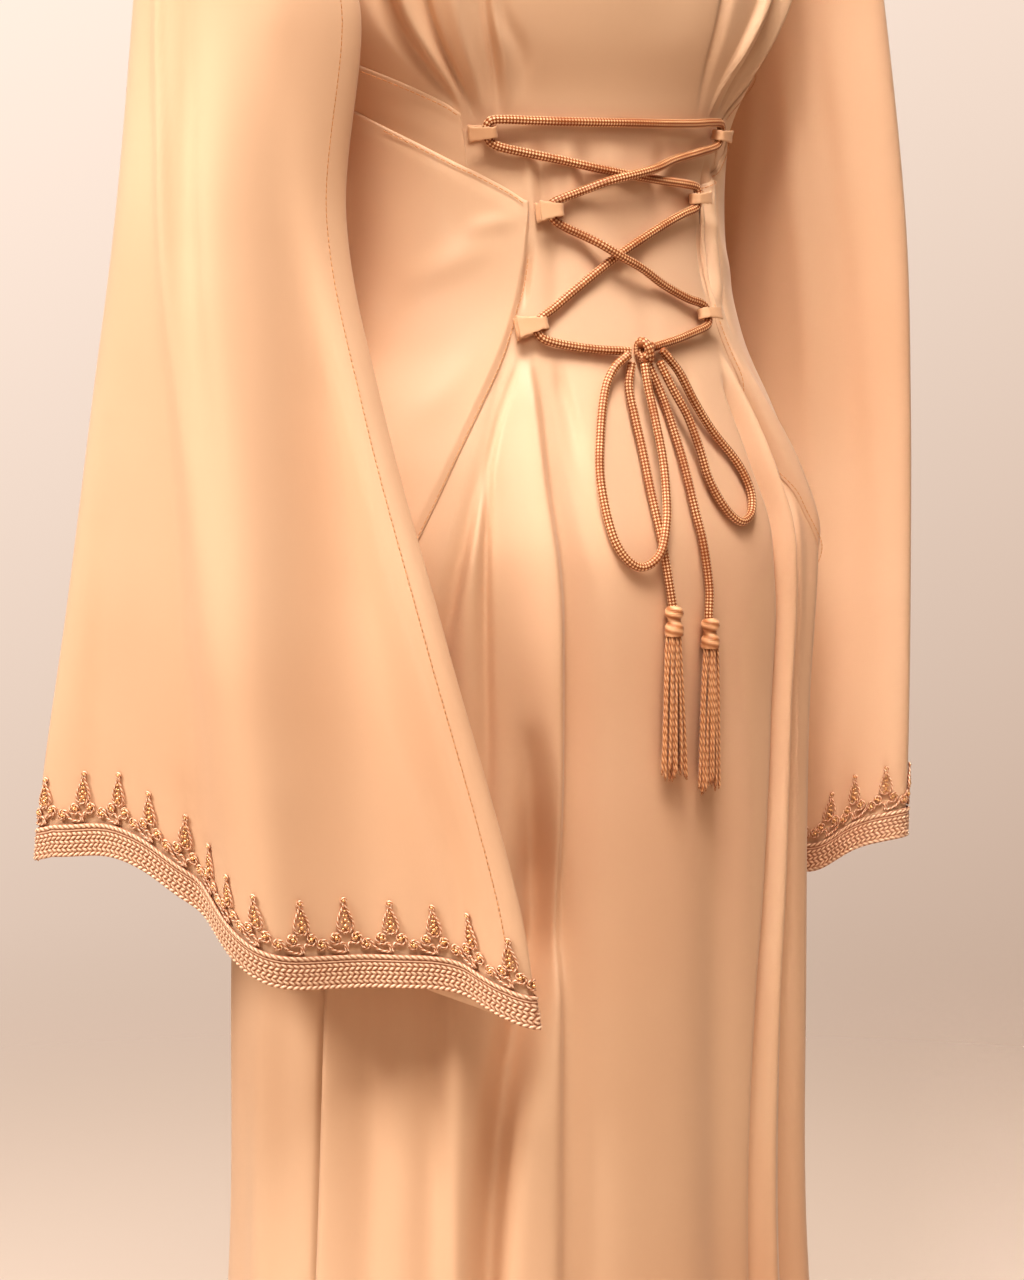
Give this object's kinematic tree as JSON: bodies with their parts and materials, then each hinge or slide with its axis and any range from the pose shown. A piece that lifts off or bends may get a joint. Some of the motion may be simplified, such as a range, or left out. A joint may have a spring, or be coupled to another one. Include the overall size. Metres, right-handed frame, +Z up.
{
  "type": "kaftan",
  "caption": "Floor-length satin kaftan with a laced back waist and wide bell sleeves edged with braid and corded trefoils, in worn form.",
  "frame": {"origin": "on the garment's middle line at the height of the top of the shoulders, where the wearer's shoulders hold it", "axes": "+Z up along the garment's length, the fronts face -Y, the back +Y, the wearer's left +X"},
  "size_m": [0.5919, 0.4064, 1.4401],
  "materials": {
    "satin": "peach satin, soft sheen",
    "satin_loop": "folded satin strap",
    "cuff_trim": "braided and couched silk cord with small beads",
    "cord": "round braided silk cord with bright flecks"
  },
  "bodies": {
    "root": {"back": "satin", "front_left": "satin", "front_right": "satin", "waist_band_left": "satin", "waist_band_right": "satin", "hip_panel_left": "satin", "hip_panel_right": "satin", "sleeve_left": "satin", "sleeve_right": "satin", "cuff_braid_left": "cuff_trim", "cuff_braid_right": "cuff_trim", "cuff_embroidery_left": "cuff_trim", "cuff_embroidery_right": "cuff_trim", "lace_loop_left_1": "satin_loop", "lace_loop_left_2": "satin_loop", "lace_loop_left_3": "satin_loop", "lace_loop_right_1": "satin_loop", "lace_loop_right_2": "satin_loop", "lace_loop_right_3": "satin_loop", "lacing_cord_left": "cord", "lacing_cord_right": "cord", "bow_knot": "cord", "bow_loop_left": "cord", "bow_loop_right": "cord", "cord_tail_left": "cord", "cord_tail_right": "cord", "tassel_left": "cord", "tassel_right": "cord"}
  },
  "joints": []
}
